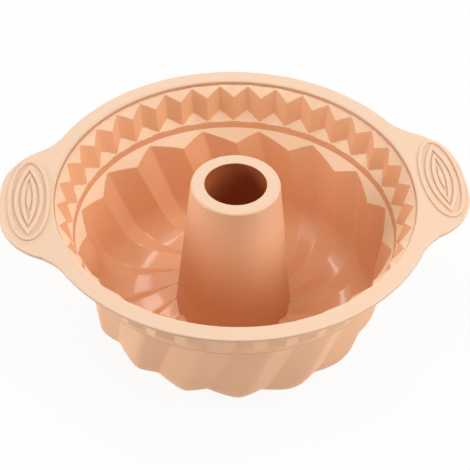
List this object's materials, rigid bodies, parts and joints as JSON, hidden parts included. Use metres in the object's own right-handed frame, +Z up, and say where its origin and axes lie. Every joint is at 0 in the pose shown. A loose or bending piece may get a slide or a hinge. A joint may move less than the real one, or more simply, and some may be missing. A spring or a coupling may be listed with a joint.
{
  "type": "silicone ring cake mould",
  "caption": "Round silicone ring mould with twisted flutes, a zigzag band under a flat rim, a hollow centre tube and flat grip handles, for baking ring cakes.",
  "frame": {"origin": "on the table under the axis of the centre tube, in the plane of the lands that the mould stands on", "axes": "+Z up along the tube axis, +X through the middle of the right handle, +Y to the back of the picture"},
  "size_m": [0.279, 0.236, 0.106],
  "materials": {
    "silicone": "satin peach silicone"
  },
  "bodies": {
    "root": {"fluted_bowl": "silicone", "centre_tube": "silicone", "zigzag_band": "silicone", "rim_flange": "silicone", "right_handle": "silicone", "left_handle": "silicone"}
  },
  "joints": []
}
